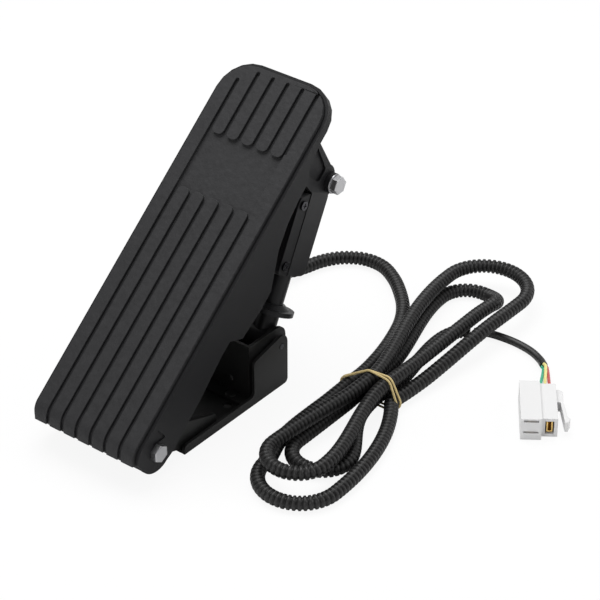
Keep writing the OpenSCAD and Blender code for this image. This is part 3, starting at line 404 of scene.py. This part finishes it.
def finishes():
    """Every finish of the object, by its name."""
    f = bpy.context.scene.throttle_finish
    return {
        "pad": finish("Pad rubber", f.pad_colour, 0.62, drift=0.9, drift_scale=200,
                      grain=(320, 0.65, 0.0005), specular=0.26),
        "frame": finish("Frame moulding", f.frame_colour, 0.52, drift=0.2,
                        grain=(1100, 0.3, 0.0002), specular=0.22),
        "sheet": finish("Coated sheet", f.sheet_colour, 0.4, drift=0.25,
                        grain=(500, 0.12, 0.0001), specular=0.25),
        "housing": finish("Housing moulding", (0.009, 0.009, 0.01), 0.4, drift=0.15,
                          grain=(900, 0.14, 0.0001), specular=0.28),
        "cover": finish("Cover moulding", (0.006, 0.006, 0.007), 0.45, drift=0.2,
                        grain=(900, 0.2, 0.0001), specular=0.22),
        "zinc": finish("Zinc plating", (0.4, 0.4, 0.41), 0.34, metallic=1, drift=0.15,
                       grain=(700, 0.05, 0.0001)),
        "dark_steel": finish("Dark steel", (0.045, 0.045, 0.05), 0.18, metallic=1,
                             drift=0.2),
        "bearing": finish("Bearing plastic", (0.62, 0.6, 0.52), 0.45),
        "seal": finish("Seal rubber", (0.008, 0.008, 0.008), 0.6),
        "magnet": finish("Magnet alloy", (0.08, 0.08, 0.085), 0.4, metallic=1),
        "board": finish("Board laminate", (0.01, 0.09, 0.03), 0.3),
        "chip": finish("Chip plastic", (0.01, 0.01, 0.01), 0.5),
        "spring": finish("Spring steel", (0.5, 0.5, 0.51), 0.3, metallic=1),
        "conduit": conduit_finish(),
        "sheath": finish("Sheath plastic", (0.012, 0.012, 0.012), 0.42, drift=0.2),
        "band": finish("Band rubber", (0.56, 0.44, 0.2), 0.5, drift=0.25),
        "green": finish("Green insulation", (0.06, 0.42, 0.26), 0.35),
        "yellow": finish("Yellow insulation", (0.8, 0.72, 0.28), 0.35),
        "red": finish("Red insulation", (0.5, 0.07, 0.07), 0.35),
        "white": finish("Connector nylon", (0.7, 0.7, 0.7), 0.42, drift=0.03,
                        grain=(600, 0.08, 0.0001)),
        "brass": finish("Contact brass", (0.66, 0.45, 0.16), 0.3, metallic=1, drift=0.15),
    }


# ---- Helpers that make pieces ----


def link_object(name, data):
    """A new object of the scene with this data."""
    thing = bpy.data.objects.new(name, data)
    bpy.context.scene.collection.objects.link(thing)
    return thing


def solid_result(thing, name):
    """The evaluated thing as a plain mesh piece; the thing itself is removed."""
    depsgraph = bpy.context.evaluated_depsgraph_get()
    mesh = bpy.data.meshes.new_from_object(
        thing.evaluated_get(depsgraph), preserve_all_data_layers=True, depsgraph=depsgraph)
    bpy.data.objects.remove(thing)
    mesh.name = name
    return link_object(name, mesh)


def rounded_copy(node, name, edge, segments=2, join=True):
    """A copy of a CAD node with its doubles merged and its edges rounded. Its flats are
    joined first, except where one flat has two slots in it, which joining would spoil."""
    mesh = NODES[node].data.copy()
    mesh.materials.clear()
    bm = bmesh.new()
    bm.from_mesh(mesh)
    bmesh.ops.remove_doubles(bm, verts=bm.verts, dist=1e-6)
    if join:
        bmesh.ops.dissolve_limit(bm, angle_limit=math.radians(0.6), verts=bm.verts,
                                 edges=bm.edges)
    bm.to_mesh(mesh)
    bm.free()
    mesh.shade_smooth()
    copy = link_object(name + "_work", mesh)
    bevel = copy.modifiers.new("Edges", "BEVEL")
    bevel.width = edge
    bevel.segments = segments
    bevel.limit_method = "ANGLE"
    bevel.angle_limit = math.radians(32)
    bevel.miter_outer = "MITER_ARC"
    normals = copy.modifiers.new("Normals", "WEIGHTED_NORMAL")
    normals.keep_sharp = True
    normals.weight = 60
    return solid_result(copy, name)


def dress(piece, material, body, *nodes):
    """Gives a piece its finish and its body, and hides the CAD nodes it stands for."""
    piece.data.materials.clear()
    piece.data.materials.append(material)
    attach(piece, body)
    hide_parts(*nodes)


def rounded_piece(node, suffix, edge, material, body, **more):
    """A rounded copy of a CAD node that takes the node's place."""
    dress(rounded_copy(node, node + "_" + suffix, edge, **more), material, body, node)


def paint(node, material):
    """A CAD node whose shape is right keeps it, and gets a better finish."""
    data = NODES[node].data
    data.materials.clear()
    data.materials.append(material)


def line_object(name, points, radius=0.0, closed=False):
    """One spline through the points, round if it has a radius."""
    curve = bpy.data.curves.new(name, "CURVE")
    curve.dimensions = "3D"
    curve.bevel_depth = radius
    curve.bevel_resolution = 5
    curve.use_fill_caps = not closed
    spline = curve.splines.new("POLY")
    spline.points.add(len(points) - 1)
    for point, place in zip(spline.points, points):
        point.co = (*place, 1)
    spline.use_cyclic_u = closed
    return link_object(name, curve)


def new_tree(name, inputs):
    """A Geometry Nodes tree with a geometry in and out and the named inputs."""
    tree = bpy.data.node_groups.new(name, "GeometryNodeTree")
    tree.interface.new_socket("Geometry", in_out="INPUT", socket_type="NodeSocketGeometry")
    for key, kind, value in inputs:
        socket = tree.interface.new_socket(
            key, in_out="INPUT", socket_type="NodeSocket" + kind)
        if value is not None:
            socket.default_value = value
    tree.interface.new_socket("Geometry", in_out="OUTPUT", socket_type="NodeSocketGeometry")
    return tree, tree.nodes.new("NodeGroupInput"), tree.nodes.new("NodeGroupOutput")


def run_tree(thing, tree, values):
    """Puts a tree on a thing and sets its inputs by their identifiers."""
    modifier = thing.modifiers.new(tree.name, "NODES")
    modifier.node_group = tree
    for socket in tree.interface.items_tree:
        if socket.in_out == "INPUT" and socket.name in values:
            modifier[socket.identifier] = values[socket.name]


def math_node(tree, operation, *sources):
    """Result of a Math node on sockets and plain numbers."""
    node = tree.nodes.new("ShaderNodeMath")
    node.operation = operation
    for k, source in enumerate(sources):
        if isinstance(source, (int, float)):
            node.inputs[k].default_value = source
        else:
            tree.links.new(source, node.inputs[k])
    return node.outputs[0]


def swept(tree, start, end, curve, profile):
    """The end of a tree: a profile swept along a curve, realised, with its material."""
    n, link = tree.nodes, tree.links
    sweep = n.new("GeometryNodeCurveToMesh")
    sweep.inputs["Fill Caps"].default_value = True
    link.new(curve, sweep.inputs["Curve"])
    link.new(profile, sweep.inputs["Profile Curve"])
    shade = n.new("GeometryNodeSetShadeSmooth")
    link.new(sweep.outputs["Mesh"], shade.inputs["Geometry"])
    real = n.new("GeometryNodeRealizeInstances")
    link.new(shade.outputs["Geometry"], real.inputs["Geometry"])
    coat = n.new("GeometryNodeSetMaterial")
    link.new(real.outputs["Geometry"], coat.inputs["Geometry"])
    link.new(start.outputs["Material"], coat.inputs["Material"])
    link.new(coat.outputs["Geometry"], end.inputs["Geometry"])
    return sweep


def conduit_tree():
    """Ribbed conduit: five rings a rib, two in the groove and three on the crest."""
    if "Ribbed conduit" in bpy.data.node_groups:
        return bpy.data.node_groups["Ribbed conduit"]
    tree, start, end = new_tree("Ribbed conduit", [
        ("Radius", "Float", 0.0045), ("Pitch", "Float", 0.0031),
        ("Rib depth", "Float", 0.0009), ("Sides", "Int", 20),
        ("Material", "Material", None)])
    n, link = tree.nodes, tree.links
    step = math_node(tree, "DIVIDE", start.outputs["Pitch"], RIB_RINGS)
    resample = n.new("GeometryNodeResampleCurve")
    resample.mode = "LENGTH"
    link.new(start.outputs["Geometry"], resample.inputs["Curve"])
    link.new(step, resample.inputs["Length"])
    index = n.new("GeometryNodeInputIndex")
    place = math_node(tree, "MODULO", index.outputs[0], RIB_RINGS)
    groove = math_node(tree, "LESS_THAN", place, GROOVE_RINGS)
    cut = math_node(tree, "MULTIPLY", groove, start.outputs["Rib depth"])
    radius = math_node(tree, "SUBTRACT", start.outputs["Radius"], cut)
    circle = n.new("GeometryNodeCurvePrimitiveCircle")
    circle.inputs["Radius"].default_value = 1
    link.new(start.outputs["Sides"], circle.inputs["Resolution"])
    # Marks the groove rings, for the painted shade of the conduit's material
    mark = n.new("GeometryNodeStoreNamedAttribute")
    mark.inputs["Name"].default_value = "groove"
    link.new(resample.outputs["Curve"], mark.inputs["Geometry"])
    link.new(groove, mark.inputs["Value"])
    sweep = swept(tree, start, end, mark.outputs["Geometry"], circle.outputs["Curve"])
    link.new(radius, sweep.inputs["Scale"])
    return tree


def spring_tree():
    """Compression spring standing on the origin, along Z."""
    if "Return spring" in bpy.data.node_groups:
        return bpy.data.node_groups["Return spring"]
    tree, start, end = new_tree("Return spring", [
        ("Turns", "Float", SPRING_TURNS), ("Radius", "Float", SPRING_RADIUS),
        ("Height", "Float", (SPRING_HIGH - SPRING_LOW) / 1000),
        ("Wire radius", "Float", SPRING_WIRE), ("Material", "Material", None)])
    n, link = tree.nodes, tree.links
    helix = n.new("GeometryNodeCurveSpiral")
    helix.inputs["Resolution"].default_value = 20
    link.new(start.outputs["Turns"], helix.inputs["Rotations"])
    link.new(start.outputs["Radius"], helix.inputs["Start Radius"])
    link.new(start.outputs["Radius"], helix.inputs["End Radius"])
    link.new(start.outputs["Height"], helix.inputs["Height"])
    circle = n.new("GeometryNodeCurvePrimitiveCircle")
    circle.inputs["Resolution"].default_value = 8
    link.new(start.outputs["Wire radius"], circle.inputs["Radius"])
    swept(tree, start, end, helix.outputs["Curve"], circle.outputs["Curve"])
    return tree


# ---- Operators ----


class ThrottleOperator:
    """What the operators share."""

    bl_options = {"REGISTER", "UNDO"}


class THROTTLE_OT_stage(ThrottleOperator, bpy.types.Operator):
    """Camera, lamps, floor and surrounding light"""

    bl_idname = "throttle.stage"
    bl_label = "Stage"

    def lamp(self, name, place, power, width, height):
        """A soft lamp of this size that looks at the object."""
        data = bpy.data.lights.new(name, "AREA")
        data.shape = "RECTANGLE"
        data.size, data.size_y = width, height
        data.energy = power
        lamp = link_object(name, data)
        lamp.location = place
        aim = Vector(LAMP_AIM) - lamp.location
        lamp.rotation_euler = aim.to_track_quat("-Z", "Y").to_euler()

    def execute(self, context):
        scene = context.scene
        stage = scene.throttle_stage
        data = bpy.data.cameras.new("Camera")
        data.lens, data.sensor_width = CAMERA_LENS, CAMERA_SENSOR
        data.clip_start, data.clip_end = 0.05, 50
        camera = link_object("Camera", data)
        camera.location = CAMERA_PLACE
        camera.rotation_euler = [math.radians(turn) for turn in CAMERA_TURN]
        scene.camera = camera
        scene.view_settings.view_transform = "Standard"
        self.lamp("Overhead lamp", (-0.25, 0.25, 1.15), stage.key_power, 1.1, 0.9)
        self.lamp("Fill lamp", (0.2, -1.2, 0.55), stage.fill_power, 0.7, 0.7)
        self.lamp("Rim lamp", (1.0, 0.7, 0.75), stage.rim_power, 0.5, 0.8)
        bm = bmesh.new()
        bmesh.ops.create_grid(bm, x_segments=1, y_segments=1, size=6)
        mesh = bpy.data.meshes.new("Floor")
        bm.to_mesh(mesh)
        bm.free()
        floor = link_object("Floor", mesh)
        mesh.materials.append(self.floor_finish())
        self.surroundings(scene, stage)
        return {"FINISHED"}

    def floor_finish(self):
        """Paper that shines towards the camera, but not under the base plate, where its
        colour is dark as painted shade, so that the plate's holes stay dark."""
        m = bpy.data.materials.new("Floor paper")
        m.use_nodes = True
        tree = m.node_tree
        n, link = tree.nodes, tree.links
        shader = n["Principled BSDF"]
        shader.inputs["Roughness"].default_value = 0.9
        glow, path = n.new("ShaderNodeEmission"), n.new("ShaderNodeLightPath")
        mix = n.new("ShaderNodeMixShader")
        place, split = n.new("ShaderNodeTexCoord"), n.new("ShaderNodeSeparateXYZ")
        link.new(place.outputs["Object"], split.inputs[0])
        across = math_node(tree, "ABSOLUTE", split.outputs["X"])
        ahead = math_node(tree, "SUBTRACT", split.outputs["Y"], SHADE_MIDDLE_Y)
        along = math_node(tree, "ABSOLUTE", ahead)
        open_x = math_node(tree, "GREATER_THAN", across, SHADE_HALF_X)
        open_y = math_node(tree, "GREATER_THAN", along, SHADE_HALF_Y)
        clear = math_node(tree, "MAXIMUM", open_x, open_y)
        # Painted shade: the floor's colour is nearly black under the base plate
        shade = n.new("ShaderNodeMix")
        shade.data_type = "RGBA"
        shade.inputs["A"].default_value = (0.04, 0.04, 0.04, 1)
        shade.inputs["B"].default_value = (0.86, 0.86, 0.86, 1)
        link.new(clear, shade.inputs["Factor"])
        link.new(shade.outputs["Result"], shader.inputs["Base Color"])
        weight = math_node(tree, "MULTIPLY", path.outputs["Is Camera Ray"],
                           math_node(tree, "MULTIPLY", clear, FLOOR_GLOW))
        link.new(weight, mix.inputs["Fac"])
        link.new(shader.outputs["BSDF"], mix.inputs[1])
        link.new(glow.outputs["Emission"], mix.inputs[2])
        link.new(mix.outputs["Shader"], n["Material Output"].inputs["Surface"])
        return m

    def surroundings(self, scene, stage):
        """A white background whose light on the object is weaker."""
        world = bpy.data.worlds.new("Studio")
        scene.world = world
        world.use_nodes = True
        n, link = world.node_tree.nodes, world.node_tree.links
        back = n["Background"]
        back.inputs["Color"].default_value = (1, 1, 1, 1)
        path = n.new("ShaderNodeLightPath")
        strength = n.new("ShaderNodeMix")
        strength.inputs["A"].default_value = stage.ambient
        strength.inputs["B"].default_value = 1.0
        link.new(path.outputs["Is Camera Ray"], strength.inputs["Factor"])
        link.new(strength.outputs["Result"], back.inputs["Strength"])


class THROTTLE_OT_conduit(ThrottleOperator, bpy.types.Operator):
    """Ribbed conduit: a stretch at the gland, one that hangs below it, and the hank"""

    bl_idname = "throttle.conduit"
    bl_label = "Ribbed conduit"

    def stretch(self, name, points, settings, material):
        """One piece of the conduit, along the points."""
        thing = line_object(name + "_line", points)
        run_tree(thing, conduit_tree(), {
            "Radius": settings.diameter / 2, "Pitch": settings.pitch,
            "Rib depth": settings.rib_depth, "Sides": settings.sides,
            "Material": material})
        return solid_result(thing, name)

    def execute(self, context):
        s = context.scene.throttle_conduit
        material = finishes()["conduit"]
        line = conduit_route(s.pitch)
        first = round(GLAND_RUN / s.pitch)
        second = first + round(HANGING_RUN / s.pitch)
        for name, points, far_end, lay in (
                ("conduit_at_gland", line[:first + 1], "object", "loose"),
                ("conduit_hanging", line[first:second + 1], "object", "loose"),
                ("conduit_on_floor", line[second:], "bare", "coiled")):
            piece = self.stretch(name, points, s, material)
            if name == "conduit_at_gland":
                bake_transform(piece)
                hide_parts("conduit_lead")
            elif name == "conduit_hanging":
                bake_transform(piece)
                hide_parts("conduit_lead")
            else:
                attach(piece, "base")
                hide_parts("conduit_lead", "conduit_hank")
        return {"FINISHED"}


class THROTTLE_OT_wiring(ThrottleOperator, bpy.types.Operator):
    """Inner sheath and the three wires to the connector"""

    bl_idname = "throttle.wiring"
    bl_label = "Sheath and wires"

    def execute(self, context):
        s = context.scene.throttle_conduit
        looks = finishes()
        points = [place_of(p) for p in smooth(SHEATH_ROUTE, WIRE_STEPS)]
        sheath = line_object("inner_sheath", points, s.sheath_diameter / 2)
        dress(sheath, looks["sheath"], "base", "cable_sheath")
        end = Vector(SHEATH_ROUTE[-1])
        side = Vector((0.64, 0.77, 0)).normalized()
        away = Vector((0.77, -0.64, 0)).normalized()
        into = Vector((math.sin(PLUG_TURN), -math.cos(PLUG_TURN), 0))
        beside = Vector((math.cos(PLUG_TURN), math.sin(PLUG_TURN), 0))
        rear = Vector((PLUG[0], PLUG[1], WIRE_Z)) - PLUG_LEN * into
        for name, sideways, up, lane, joined in (
                ("green", -WIRE_SPREAD, -0.7, WIRE_LANES[0], "connector_housing_moulded"),
                ("yellow", 0, 1.3, WIRE_LANES[1], "connector_terminals"),
                ("red", WIRE_SPREAD, -0.7, WIRE_LANES[2], "connector_latch_moulded")):
            start = end + side * sideways + Vector((0, 0, up))
            inside = rear + lane * beside
            route = [start, start + WIRE_STRAIGHT * away, inside - WIRE_STRAIGHT * into,
                     inside]
            points = [place_of(p) for p in smooth(route, WIRE_STEPS)]
            wire = line_object(name + "_wire", points, s.wire_diameter / 2)
            dress(wire, looks[name], "base", "wire_" + name)
        return {"FINISHED"}


class THROTTLE_OT_band(ThrottleOperator, bpy.types.Operator):
    """Elastic band, doubled round the hank's waist"""

    bl_idname = "throttle.band"
    bl_label = "Elastic band"

    def turn_points(self, turn, shift, slant, out):
        """One turn of the band: straight between the strands and round at the corners."""
        points = []
        left, right = BUNDLE[0][0], BUNDLE[1][0]
        for k, (x, z) in enumerate(BUNDLE):
            before_x, before_z = BUNDLE[k - 1]
            after_x, after_z = BUNDLE[(k + 1) % len(BUNDLE)]
            start = math.atan2(-(x - before_x), z - before_z)
            stop = math.atan2(-(after_x - x), after_z - z)
            while stop < start - 1e-6:
                stop += 2 * math.pi
            wave = math.sin((x - left) / (right - left) * math.pi + turn)
            for j in range(CORNER_STEPS + 1):
                a = start + (stop - start) * j / CORNER_STEPS
                place = (x + out * math.cos(a), WAIST_Y + shift + slant * wave,
                         z + out * math.sin(a))
                points.append(place_of(place))
        return points

    def execute(self, context):
        s = context.scene.throttle_conduit
        bm = bmesh.new()
        for turn, (shift, slant) in enumerate(BAND_TURNS):
            out = STRAND_RADIUS + s.band_radius * 1000 * (1.1 + 0.1 * turn)
            points = self.turn_points(turn, shift, slant, out)
            line = line_object("band_line", points, s.band_radius, closed=True)
            ring = solid_result(line, "band_turn_%d" % turn)
            bm.from_mesh(ring.data)
            bpy.data.objects.remove(ring)
        mesh = bpy.data.meshes.new("elastic_band")
        bm.to_mesh(mesh)
        bm.free()
        dress(link_object("elastic_band", mesh), finishes()["band"], "base", "rubber_band")
        return {"FINISHED"}


class THROTTLE_OT_connector(ThrottleOperator, bpy.types.Operator):
    """Connector housing, its latch arm and its contacts"""

    bl_idname = "throttle.connector"
    bl_label = "Connector"

    def execute(self, context):
        f = context.scene.throttle_finish
        looks = finishes()
        rounded_piece("connector_housing", "moulded", f.sheet_edge, looks["white"], "base",
                      join=False)
        rounded_piece("connector_latch", "moulded", f.sheet_edge, looks["white"], "base")
        paint("connector_terminals", looks["brass"])
        return {"FINISHED"}


class THROTTLE_OT_base(ThrottleOperator, bpy.types.Operator):
    """Folded base plate, strut bracket, hinge bracket and their rivets"""

    bl_idname = "throttle.base"
    bl_label = "Base"

    def execute(self, context):
        f = context.scene.throttle_finish
        looks = finishes()
        for node in ("base_plate", "strut_bracket", "hinge_bracket"):
            rounded_piece(node, "folded", f.sheet_edge, looks["sheet"], "base")
        for node in ("bracket_rivets", "hinge_rivets"):
            rounded_piece(node, "set", f.sheet_edge, looks["sheet"], "base")
        paint("hinge_bushes", looks["bearing"])
        paint("pin_spacers", looks["seal"])
        rounded_piece("foot_pin", "turned", f.steel_edge, looks["dark_steel"], "base")
        paint("pin_clip", looks["spring"])
        return {"FINISHED"}


class THROTTLE_OT_pedal(ThrottleOperator, bpy.types.Operator):
    """Pedal frame and its ribbed rubber pad"""

    bl_idname = "throttle.pedal"
    bl_label = "Pedal"

    def execute(self, context):
        f = context.scene.throttle_finish
        looks = finishes()
        rounded_piece("pedal_frame", "moulded", f.mould_edge, looks["frame"], "pedal")
        rounded_piece("rubber_pad", "moulded", f.pad_edge, looks["pad"], "pedal",
                      segments=3)
        return {"FINISHED"}


class THROTTLE_OT_fasteners(ThrottleOperator, bpy.types.Operator):
    """Bolts, nuts, washers and sleeves of the heel hinge and of the head pivot"""

    bl_idname = "throttle.fasteners"
    bl_label = "Bolts and nuts"

    def execute(self, context):
        f = context.scene.throttle_finish
        looks = finishes()
        for node in ("heel_bolt", "heel_nut", "heel_washer", "head_bolt", "head_nut",
                     "head_washers"):
            rounded_piece(node, "plated", f.steel_edge, looks["zinc"], "pedal", segments=3)
        paint("heel_sleeve", looks["dark_steel"])
        paint("head_sleeve", looks["dark_steel"])
        paint("head_bush", looks["zinc"])
        return {"FINISHED"}


class THROTTLE_OT_strut(ThrottleOperator, bpy.types.Operator):
    """Plunger, sensor housing, its cover and screws, its inner pieces and the spring"""

    bl_idname = "throttle.strut"
    bl_label = "Sensor strut"

    def execute(self, context):
        f = context.scene.throttle_finish
        looks = finishes()
        rounded_piece("plunger", "moulded", f.sheet_edge, looks["housing"], "plunger")
        rounded_piece("sensor_housing", "moulded", f.mould_edge, looks["housing"], "sensor",
                      segments=3)
        rounded_piece("sensor_cover", "moulded", f.sheet_edge, looks["cover"], "sensor")
        rounded_piece("cover_screws", "plated", SCREW_EDGE, looks["dark_steel"], "sensor")
        rounded_piece("cable_gland", "moulded", f.sheet_edge, looks["cover"], "sensor")
        paint("foot_bush", looks["bearing"])
        paint("magnet_holder", looks["bearing"])
        paint("magnet", looks["magnet"])
        paint("circuit_board", looks["board"])
        paint("hall_sensor", looks["chip"])
        paint("guide_bush", looks["bearing"])
        paint("wiper_seal", looks["seal"])
        self.spring(looks["spring"])
        return {"FINISHED"}

    def spring(self, material):
        """The return spring, wound upright and then laid into the strut."""
        height = (SPRING_HIGH - SPRING_LOW) / 1000
        thing = link_object("spring_work", bpy.data.meshes.new("spring_work"))
        run_tree(thing, spring_tree(), {
            "Turns": SPRING_TURNS, "Radius": SPRING_RADIUS, "Height": height,
            "Wire radius": SPRING_WIRE, "Material": material})
        spring = solid_result(thing, "return_spring_wound")
        foot = on_strut(STRUT_FOOT[0], 0, SPRING_LOW)
        up = (on_strut(STRUT_FOOT[0], 0, SPRING_HIGH) - foot).normalized()
        turn = Vector((0, 0, 1)).rotation_difference(up).to_matrix().to_4x4()
        spring.data.transform(turn)
        for v in spring.data.vertices:
            v.co += foot
        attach(spring, "sensor")
        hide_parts("return_spring")
        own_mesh(spring)


class THROTTLE_PT_panel(bpy.types.Panel):
    """Buttons and settings of the throttle pedal"""

    bl_idname = "THROTTLE_PT_panel"
    bl_label = "Floor throttle pedal"
    bl_space_type = "VIEW_3D"
    bl_region_type = "UI"
    bl_category = "Throttle"

    def draw(self, context):
        layout = self.layout
        for operator in OPERATORS:
            layout.operator(operator.bl_idname)
        for name, group in GROUPS:
            column = layout.column()
            for setting in group.__annotations__:
                column.prop(getattr(context.scene, name), setting)


OPERATORS = (
    THROTTLE_OT_stage, THROTTLE_OT_conduit, THROTTLE_OT_wiring, THROTTLE_OT_band,
    THROTTLE_OT_connector, THROTTLE_OT_base, THROTTLE_OT_pedal, THROTTLE_OT_fasteners,
    THROTTLE_OT_strut,
)
GROUPS = (
    ("throttle_conduit", ConduitSettings), ("throttle_finish", FinishSettings),
    ("throttle_stage", StageSettings),
)


def register():
    """Registers the settings, the operators and the panel."""
    for name, group in GROUPS:
        bpy.utils.register_class(group)
        setattr(bpy.types.Scene, name, bpy.props.PointerProperty(type=group))
    for operator in OPERATORS:
        bpy.utils.register_class(operator)
    bpy.utils.register_class(THROTTLE_PT_panel)


def unregister():
    """Takes back what register made, in the opposite order."""
    bpy.utils.unregister_class(THROTTLE_PT_panel)
    for operator in reversed(OPERATORS):
        bpy.utils.unregister_class(operator)
    for name, group in reversed(GROUPS):
        delattr(bpy.types.Scene, name)
        bpy.utils.unregister_class(group)


def main():
    """Builds the stage and every piece, in order."""
    register()
    bpy.ops.throttle.stage()
    bpy.ops.throttle.conduit()
    bpy.ops.throttle.connector()
    bpy.ops.throttle.wiring()
    bpy.ops.throttle.band()
    bpy.ops.throttle.base()
    bpy.ops.throttle.pedal()
    bpy.ops.throttle.fasteners()
    bpy.ops.throttle.strut()
    bpy.context.view_layer.update()


if __name__ == "__main__":
    main()
